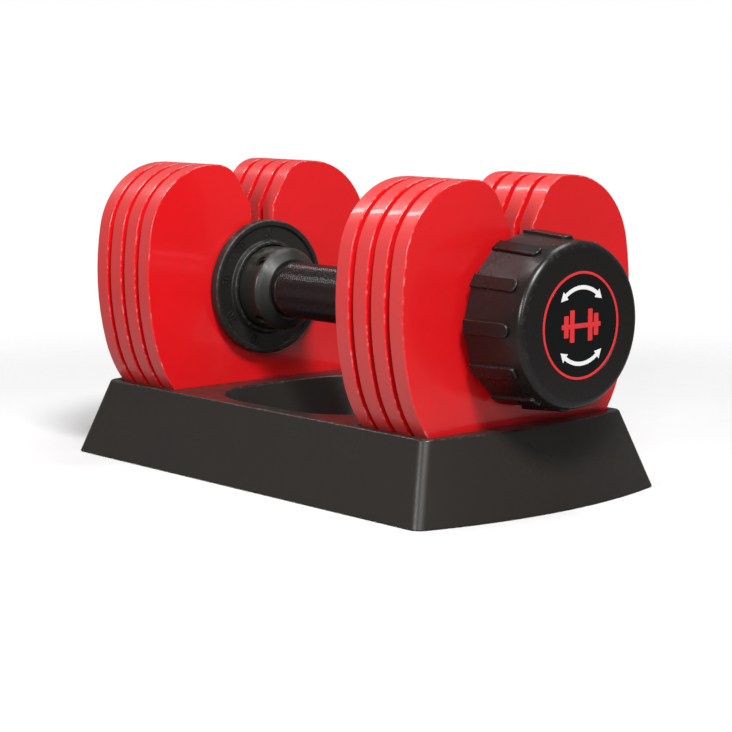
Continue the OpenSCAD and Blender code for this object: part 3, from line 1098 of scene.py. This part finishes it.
    def detent_bore(self) -> Shape:
        """Makes the bore that the detent pin and its spring sit in.

        Returns:
            The bore, as a tool.
        """
        low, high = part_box("detent_pin_right")
        spring_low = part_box("detent_spring_right")[0]
        play = mm(0.05)
        bpy.ops.object.select_all(action="DESELECT")
        bpy.ops.mesh.primitive_cylinder_add(
            vertices=32, radius=(high.z - low.z) / 2 + mm(CLOSE_FIT_MM), depth=high.x - spring_low.x + play,
            location=((high.x + spring_low.x - play) / 2, 0, (low.z + high.z) / 2),
            rotation=(0, QUARTER_TURN, 0),
        )
        return fresh("detent_bore")


# ---------------------------------------------------------------- selector


@dataclass
class Dial:
    """The raised-rim dial with the weight figures.

    Attributes:
        weights: the figures, from the heaviest setting down.
        step: angle from one setting to the next, in degrees.
        figure_h: height of a figure.
        trough: how far the sunk ring lies behind the ridge round the collar.
        axis_z: height of the dial's axis.
        rim_r: radius of the dial.
        front: place along X of its grip side.
        back: place along X of its plate side.
    """

    weights: tuple[int, ...] = (50, 40, 30, 20, 10)
    step: float = 40.0
    figure_h: float = mm(6.4)
    trough: float = mm(3.8)
    axis_z: float = field(init=False)
    rim_r: float = field(init=False)
    front: float = field(init=False)
    back: float = field(init=False)

    def __post_init__(self) -> None:
        """Takes the dial's sizes from the frame."""
        low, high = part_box("weight_dial_right")
        self.axis_z = (low.z + high.z) / 2
        self.rim_r = (high.z - low.z) / 2
        self.front = low.x
        self.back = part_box("plate_right_1")[0].x - mm(0.7)

    def build(self) -> None:
        """Builds the right dial and copies it to the left."""
        right = self.disc()
        marks = self.figures()
        left = copied(right, "dial_left", half_turn=True)
        left_marks = copied(marks, "dial_figures_left", half_turn=True)
        for side, dial, figures in ((Side.RIGHT, right, marks), (Side.LEFT, left, left_marks)):
            place(dial, COLLAR_PLASTIC, side.node("selector"), side.node("weight_dial"))
            place(figures, COLLAR_PLASTIC, side.node("selector"))

    def disc(self) -> Shape:
        """Turns the dial: a ridge round the collar, a sunk ring for the figures and a raised lip.

        Returns:
            The dial.
        """
        ridge_face, back, rim = in_mm(self.front), in_mm(self.back), in_mm(self.rim_r)
        hub_end = in_mm(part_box("weight_dial_right")[1].x)
        lip, floor_x, plain = ridge_face + 2.0, ridge_face + in_mm(self.trough), ridge_face + 2.5
        bore_r, hub_r = 7.1, 8.9
        ridge_in, ridge_out, ridge_foot_in, ridge_foot_out = 28.8, 31.2, 28.6, 31.9
        dial = turned(
            "dial_right",
            rounded_section([
                (plain, bore_r, 0), (plain, ridge_foot_in, 0.3),
                (ridge_face, ridge_in, 0.9), (ridge_face, ridge_out, 0.9),
                (floor_x, ridge_foot_out, 0.8), (floor_x, rim - 4.3, 0.8),
                (lip, rim - 3.6, 0.9), (lip, rim, 1.4),
                (back, rim, 1.0), (back, hub_r, 0.2), (hub_end, hub_r, 0.2), (hub_end, bore_r, 0),
            ]),
            self.axis_z,
            128,
        )
        return smooth(dial)

    def figures(self) -> Shape:
        """Makes the raised figures, as one mesh on the sunk ring.

        Returns:
            The figures.
        """
        floor_x = self.front + self.trough
        middle_r = self.rim_r - mm(9.1)
        towards_grip = Matrix(((0, 0, -1, 0), (-1, 0, 0, 0), (0, 1, 0, 0), (0, 0, 0, 1)))
        made = []
        for number, weight in enumerate(self.weights):
            turn = Matrix.Rotation(-math.radians(self.step) * number, 4, "X")
            bpy.ops.object.select_all(action="DESELECT")
            bpy.ops.object.text_add()
            text = bpy.context.view_layer.objects.active
            text.data.body = str(weight)
            text.data.size = self.figure_h * 1.35
            text.data.align_x, text.data.align_y = "CENTER", "CENTER"
            text.data.extrude = mm(0.5)
            text.data.resolution_u = 4
            only(text)
            bpy.ops.object.convert(target="MESH")
            figure = bpy.context.view_layer.objects.active
            figure.matrix_world = (
                Matrix.Translation((floor_x, 0, self.axis_z)) @ turn @ Matrix.Translation((0, 0, middle_r))
                @ towards_grip
            )
            only(figure)
            bpy.ops.object.transform_apply(location=True, rotation=True, scale=True)
            made.append(figure)
        marks = joined("dial_figures_right", made)
        face_outwards(marks)
        return smooth(marks)


@dataclass
class Knob:
    """The end knob: ribbed shell, badge and printed mark.

    Attributes:
        ribs: how many grip ribs stand round the skirt.
        rib_h: height of a rib above the skirt.
        rib_w: width of a rib.
        taper: how much narrower the skirt is at its front.
        front_round: rounding of the front edge.
        flat_depth: how far the flats between the ribs are cut into the skirt.
        badge_r: outer radius of the badge's ring.
        axis_z: height of the knob's axis.
        skirt_r: radius of the skirt at its rear.
        rear: place along X of the knob's rear edge.
        face: place along X of its front face.
    """

    ribs: int = 12
    rib_h: float = mm(2.0)
    rib_w: float = mm(8.6)
    taper: float = mm(2.6)
    front_round: float = mm(5.0)
    flat_depth: float = mm(1.0)
    badge_r: float = field(init=False)
    axis_z: float = field(init=False)
    skirt_r: float = field(init=False)
    rear: float = field(init=False)
    face: float = field(init=False)

    def __post_init__(self) -> None:
        """Takes the knob's sizes from the frame."""
        low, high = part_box("knob_shell_right")
        self.axis_z = (low.z + high.z) / 2
        self.rear, self.face = low.x, high.x
        self.skirt_r = (high.z - low.z) / 2 - self.rib_h
        ring_low, ring_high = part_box("badge_ring_right")
        self.badge_r = (ring_high.z - ring_low.z) / 2

    def build(self) -> None:
        """Builds the right knob and copies it to the left."""
        right = {
            "knob": (self.shell(), KNOB_PLASTIC, "knob_shell"),
            "badge": (self.badge(), BADGE_BLACK, "badge_disc"),
            "badge_band": (self.band(), BADGE_RED, "badge_ring"),
            "badge_arrows": (self.arrows(), BADGE_WHITE, None),
            "badge_weights": (self.pictogram(), BADGE_RED, None),
        }
        for name, (piece, finish, node) in right.items():
            twin = copied(piece, name + "_left", half_turn=True)
            for side, shape in ((Side.RIGHT, piece), (Side.LEFT, twin)):
                stands_for = [side.node(node)] if node else []
                place(shape, finish, side.node("selector"), *stands_for)

    def shell(self) -> Shape:
        """Turns the shell, flattens the skirt between the ribs and joins the ribs to it.

        Returns:
            The shell.
        """
        rear, face = in_mm(self.rear), in_mm(self.face)
        skirt, front = in_mm(self.skirt_r), in_mm(self.skirt_r - self.taper)
        inner = front - 2.8
        badge, head_r, shank_r, hub_r = in_mm(self.badge_r) + 0.3, 6.8, 4.1, 15
        badge_seat, head_seat, hub_end, ceiling = face - 1.4, face - 8.8, face - 12.5, face - 4.5
        shell = turned(
            "knob_right",
            rounded_section([
                (rear, skirt, 0.6), (face, front - 0.3, in_mm(self.front_round)), (face, badge, 0.3),
                (badge_seat, badge, 0), (badge_seat, head_r, 0),
                (head_seat, head_r, 0), (head_seat, shank_r, 0),
                (hub_end, shank_r, 0), (hub_end, hub_r, 0), (ceiling, hub_r, 0), (ceiling, inner, 1.0),
                (rear, inner, 0.4),
            ], steps=8),
            self.axis_z,
            144,
        )
        combine(shell, self.flats(), "INTERSECT")
        combine(shell, self.rib_ring(), "UNION")
        return smooth(shell, 35)

    def flats(self) -> Shape:
        """Makes the tapered prism whose sides flatten the skirt between the ribs.

        Returns:
            The prism, as a tool.
        """
        half_panel = math.pi / self.ribs
        slope = self.taper / (self.face - self.rear - self.front_round)
        front_x = self.face - mm(8)
        rear_r = self.skirt_r - self.flat_depth
        front_r = self.skirt_r - slope * (front_x - self.rear)
        grow = (front_r - rear_r) / (front_x - self.rear)
        back, ahead = self.rear - mm(2), self.face + mm(2)
        bpy.ops.object.select_all(action="DESELECT")
        bpy.ops.mesh.primitive_cone_add(
            vertices=self.ribs,
            radius1=(rear_r + grow * (back - self.rear)) / math.cos(half_panel),
            radius2=(rear_r + grow * (ahead - self.rear)) / math.cos(half_panel),
            depth=ahead - back,
            location=((back + ahead) / 2, 0, self.axis_z),
            rotation=(0, QUARTER_TURN, 0),
        )
        return fresh("flats")

    def rib_ring(self) -> Shape:
        """Shapes one rib from a cube, round at its front end, and repeats it round the skirt.

        Returns:
            All the ribs.
        """
        length = self.face - self.rear - mm(9.5)
        slope = math.atan(self.taper / (self.face - self.rear - self.front_round))
        depth = mm(6)
        middle_x = self.rear + length / 2
        top_r = self.skirt_r + self.rib_h - math.tan(slope) * length / 2
        bpy.ops.object.select_all(action="DESELECT")
        bpy.ops.mesh.primitive_cube_add(
            size=1, scale=(length / math.cos(slope), self.rib_w, depth),
            location=(middle_x, 0, self.axis_z + top_r - depth / 2), rotation=(0, slope, 0),
        )
        rib = fresh("ribs")
        front_x = self.rear + length - mm(2)
        with editing(rib, "EDGE"):
            pick_edges(rib, lambda a, b: min(a.x, b.x) > front_x and abs(a.y - b.y) < mm(0.1))
            bpy.ops.mesh.bevel(offset=self.rib_w * 0.48, segments=7, profile=0.5, clamp_overlap=False)
        middle_z = self.axis_z + self.skirt_r - self.taper
        with editing(rib, "EDGE"):
            pick_edges(rib, lambda a, b: min(a.z, b.z) > middle_z, sharp=50)
            bpy.ops.mesh.bevel(offset=mm(1.0), segments=4, profile=0.5, clamp_overlap=False)
        round_copies(rib, self.ribs, Vector((middle_x, 0, self.axis_z)))
        return rib

    def badge(self) -> Shape:
        """Turns the glossy badge disc, with a softly rounded edge.

        Returns:
            The disc.
        """
        low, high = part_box("badge_disc_right")
        radius = (high.z - low.z) / 2
        bpy.ops.object.select_all(action="DESELECT")
        bpy.ops.mesh.primitive_cylinder_add(
            vertices=128, radius=radius, depth=high.x - low.x,
            location=((low.x + high.x) / 2, 0, self.axis_z), rotation=(0, QUARTER_TURN, 0),
        )
        disc = fresh("badge_right")
        with editing(disc, "EDGE"):
            pick_edges(disc, lambda a, b: min(a.x, b.x) > high.x - mm(0.05), sharp=60)
            bpy.ops.mesh.bevel(offset=mm(0.25), segments=3, profile=0.5)
        return smooth(disc)

    def band(self) -> Shape:
        """Turns the thin red ring round the badge.

        Returns:
            The ring.
        """
        low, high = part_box("badge_ring_right")
        back, front, outer = in_mm(low.x), in_mm(high.x), in_mm(self.badge_r)
        inner = outer - 1.6
        ring = turned(
            "badge_band_right",
            rounded_section([
                (back, inner, 0), (front, inner, 0.2), (front, outer, 0.2), (back, outer, 0),
            ], steps=2),
            self.axis_z,
            128,
        )
        return smooth(ring)

    def arrows(self) -> Shape:
        """Makes the two bent turning arrows, above and below the middle of the badge.

        Returns:
            Both arrows.
        """
        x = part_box("badge_disc_right")[1].x
        radius, width, thick = mm(22.5), mm(2.4), mm(0.12)
        sweep = math.radians(80)
        made = []
        for start in (50.0, 230.0):
            angle = math.radians(start)
            bpy.ops.object.select_all(action="DESELECT")
            at = Vector((x, radius * math.cos(angle), self.axis_z + radius * math.sin(angle)))
            bpy.ops.mesh.primitive_plane_add(size=width, location=at, rotation=(angle, 0, 0))
            arc = fresh("arc")
            with editing(arc):
                bpy.ops.mesh.select_all(action="SELECT")
                bpy.ops.transform.resize(value=(thick / width, 1, 1), center_override=at)
                bpy.ops.mesh.spin(
                    steps=20, angle=sweep, center=(x, 0, self.axis_z), axis=(-1, 0, 0)
                )
            face_outwards(arc)
            combine(arc, self.arrow_head(x, radius, angle, False, thick), "UNION")
            combine(arc, self.arrow_head(x, radius, angle + sweep, True, thick), "UNION")
            made.append(arc)
        return joined("badge_arrows_right", made)

    def arrow_head(self, x: float, radius: float, angle: float, onward: bool, thick: float) -> Shape:
        """Makes a three-sided arrow head at the end of an arc.

        Args:
            x: station of the badge's face.
            radius: radius of the arc.
            angle: where on the arc, from +Y towards +Z.
            onward: whether it points the way the angle grows.
            thick: its thickness.

        Returns:
            The arrow head.
        """
        bpy.ops.object.select_all(action="DESELECT")
        bpy.ops.mesh.primitive_cylinder_add(vertices=3, radius=mm(3.6), depth=thick)
        head = fresh("arrow_head")
        outward = Vector((1, 0, 0))
        onto = Vector((0, -math.sin(angle), math.cos(angle))) * (1 if onward else -1)
        basis = Matrix((onto.cross(outward), onto, outward)).transposed().to_4x4()
        at = Vector((x, radius * math.cos(angle), self.axis_z + radius * math.sin(angle)))
        head.matrix_world = Matrix.Translation(at) @ basis
        only(head)
        bpy.ops.object.transform_apply(location=True, rotation=True, scale=True)
        return head

    def pictogram(self) -> Shape:
        """Makes the small sign of a bar with weights in the middle of the badge.

        Returns:
            The sign.
        """
        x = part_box("badge_disc_right")[1].x
        bars = [(0.0, 33.0, 2.8), (-7.6, 3.8, 19.0), (7.6, 3.8, 19.0), (-12.6, 3.8, 13.0), (12.6, 3.8, 13.0)]
        made = []
        for across, width, height in bars:
            bpy.ops.object.select_all(action="DESELECT")
            bpy.ops.mesh.primitive_cube_add(
                size=1, scale=(mm(0.12), mm(width), mm(height)), location=(x, mm(across), self.axis_z)
            )
            bar = fresh("bar")
            with editing(bar, "EDGE"):
                pick_edges(bar, lambda a, b: abs(a.x - b.x) > mm(0.05))
                bpy.ops.mesh.bevel(offset=mm(0.6), segments=4, profile=0.5)
            made.append(bar)
        sign = made[0]
        for bar in made[1:]:
            combine(sign, bar, "UNION")
        sign.name = sign.data.name = "badge_weights_right"
        return sign


@dataclass
class Selector:
    """The parts that turn with one knob and stay as the frame has them.

    Attributes:
        side: which end.
    """

    side: Side

    def build(self) -> None:
        """Dresses the shaft, the discs and the knob's core."""
        nodes = frame["nodes"]
        dress(nodes[self.side.node("selector_shaft")], CORE_STEEL)
        dress(nodes[self.side.node("retaining_ring")], SPRING_STEEL)
        dress(nodes[self.side.node("knob_weight")], CAST_IRON)
        dress(nodes[self.side.node("knob_bolt")], SCREW_STEEL)
        for number in range(1, PLATES_PER_SIDE + 1):
            dress(nodes[self.side.node("selector_disc", number)], DISC_STEEL)


# ---------------------------------------------------------------- studio


@dataclass
class Softbox:
    """A soft rectangular light.

    Attributes:
        name: what it is called.
        place: where it hangs.
        aim: what it points at.
        size: its width and height.
        power: its power in watts.
        colour: its colour.
    """

    name: str
    place: tuple[float, float, float]
    aim: tuple[float, float, float]
    size: tuple[float, float]
    power: float
    colour: Colour = (1.0, 1.0, 1.0)

    def build(self) -> None:
        """Hangs the light."""
        lamp = bpy.data.lights.new(self.name, "AREA")
        lamp.shape = "RECTANGLE"
        lamp.size, lamp.size_y = self.size
        lamp.energy = self.power
        lamp.color = self.colour
        holder = bpy.data.objects.new(self.name, lamp)
        bpy.context.scene.collection.objects.link(holder)
        holder.location = self.place
        way = Vector(self.aim) - Vector(self.place)
        holder.rotation_euler = way.to_track_quat("-Z", "Y").to_euler()


@dataclass
class Studio:
    """The pale floor, the soft lights and the camera.

    Attributes:
        azimuth: the camera's azimuth in degrees, 0 where it looks along +Y.
        elevation: the camera's height above the horizon in degrees.
        roll: the camera's roll in degrees.
        distance: the camera's distance from the point it looks at.
        look_at: height of that point above the floor, then how far right of it and above it the camera is
            shifted, both in metres.
        lens: focal length in millimetres on a 36 mm wide sensor.
        floor_fade: how far from the middle the floor starts to fade and is gone.
        floor_bounce: how much light the floor throws back onto the object.
        lights: the softboxes.
    """

    azimuth: float = 48.94
    elevation: float = 8.113
    roll: float = -0.095
    distance: float = 1.41833
    look_at: tuple[float, float, float] = (0.1, 0.00835, -0.03168)
    lens: float = 106.33
    floor_fade: tuple[float, float] = (0.34, 0.8)
    floor_bounce: float = 0.3
    lights: tuple[Softbox, ...] = (
        Softbox("key", (1.0, -0.5, 1.45), (0.05, 0.0, 0.1), (0.4, 0.4), 36),
        Softbox("front", (0.3, -1.7, 0.75), (0.0, 0.0, 0.1), (0.3, 0.5), 15),
        Softbox("glint", (1.12, -1.15, 0.8), (0.05, 0.0, 0.1), (0.14, 0.5), 5),
        Softbox("back", (-1.0, -0.35, 1.5), (0.0, 0.0, 0.12), (0.12, 1.0), 8),
        Softbox("top", (0.1, 0.5, 1.5), (0.0, 0.0, 0.1), (0.8, 0.5), 8),
    )

    def build(self) -> None:
        """Sets the whole studio up."""
        self.floor()
        self.sky()
        for light in self.lights:
            light.build()
        self.camera()

    def floor(self) -> None:
        """Lays the floor, which isn't part of the object."""
        bpy.ops.object.select_all(action="DESELECT")
        bpy.ops.mesh.primitive_plane_add(size=FLOOR_SIZE)
        ground = fresh("floor")
        ground.data.materials.append(self.floor_material())

    def floor_material(self) -> bpy.types.Material:
        """Makes the pale floor, which fades into the white round it.

        Returns:
            The floor's material.
        """
        made = bpy.data.materials.new("floor")
        made.use_nodes = True
        sheet = Sheet(made.node_tree)
        place_on = sheet.add("TexCoord").outputs["Object"]
        apart = sheet.add("VectorMath", {"operation": "LENGTH"}, Vector=place_on).outputs["Value"]
        near = sheet.maths("SUBTRACT", 1.0, sheet.ramp(apart, *self.floor_fade))
        tone = sheet.mix(sheet.noise(place_on, 40.0), (0.7, 0.7, 0.7, 1.0), (0.68, 0.68, 0.68, 1.0))
        seen = sheet.add("LightPath").outputs["Is Camera Ray"]
        tone = sheet.mix(seen, (*[self.floor_bounce] * 3, 1.0), tone)
        shader = sheet.add("BsdfPrincipled", Base_Color=tone, Alpha=near)
        shader.inputs["Roughness"].default_value = 0.6
        shader.inputs["Specular IOR Level"].default_value = 0.2
        sheet.add("OutputMaterial", Surface=shader.outputs["BSDF"])
        return made

    def sky(self) -> None:
        """Surrounds the object with even light, seen as white behind it."""
        world = bpy.data.worlds.new("studio")
        world.use_nodes = True
        sheet = Sheet(world.node_tree)
        seen = sheet.add("Background", Strength=1.0)
        seen.inputs["Color"].default_value = (1, 1, 1, 1)
        light = sheet.add("Background", Strength=0.22)
        light.inputs["Color"].default_value = (1, 0.985, 0.97, 1)
        split = sheet.add("MixShader")
        sheet.feed(split.inputs[0], sheet.add("LightPath").outputs["Is Camera Ray"])
        sheet.feed(split.inputs[1], light.outputs[0])
        sheet.feed(split.inputs[2], seen.outputs[0])
        sheet.add("OutputWorld", Surface=split.outputs[0])
        bpy.context.scene.world = world
        bpy.context.scene.view_settings.view_transform = "Standard"

    def camera(self) -> None:
        """Places the camera."""
        a, e, turn = (math.radians(angle) for angle in (self.azimuth, self.elevation, self.roll))
        back = Vector((math.sin(a) * math.cos(e), -math.cos(a) * math.cos(e), math.sin(e)))
        level = Vector((math.cos(a), math.sin(a), 0))
        upright = back.cross(level)
        right = level * math.cos(turn) + upright * math.sin(turn)
        up = upright * math.cos(turn) - level * math.sin(turn)
        height, across, above = self.look_at
        data = bpy.data.cameras.new("camera")
        data.lens, data.sensor_width = self.lens, 36.0
        data.clip_start, data.clip_end = 0.05, 60.0
        eye = bpy.data.objects.new("camera", data)
        bpy.context.scene.collection.objects.link(eye)
        place_at = back * self.distance + Vector((0, 0, height)) + right * across + up * above
        basis = Matrix((right, up, back)).transposed().to_4x4()
        eye.matrix_world = Matrix.Translation(place_at) @ basis
        bpy.context.scene.camera = eye


# ---------------------------------------------------------------- assembly


def main() -> None:
    """Builds every sub-assembly in order and notes each one once it is built."""
    logging.basicConfig(level=logging.INFO, format="%(message)s")
    assemblies = [
        Stand(),
        PlateStack(Side.LEFT),
        PlateStack(Side.RIGHT),
        Handle(),
        Dial(),
        Knob(),
        Selector(Side.LEFT),
        Selector(Side.RIGHT),
        Studio(),
    ]
    for assembly in assemblies:
        assembly.build()
        LOG.info("built %s", type(assembly).__name__)


if __name__ == "__main__":
    main()
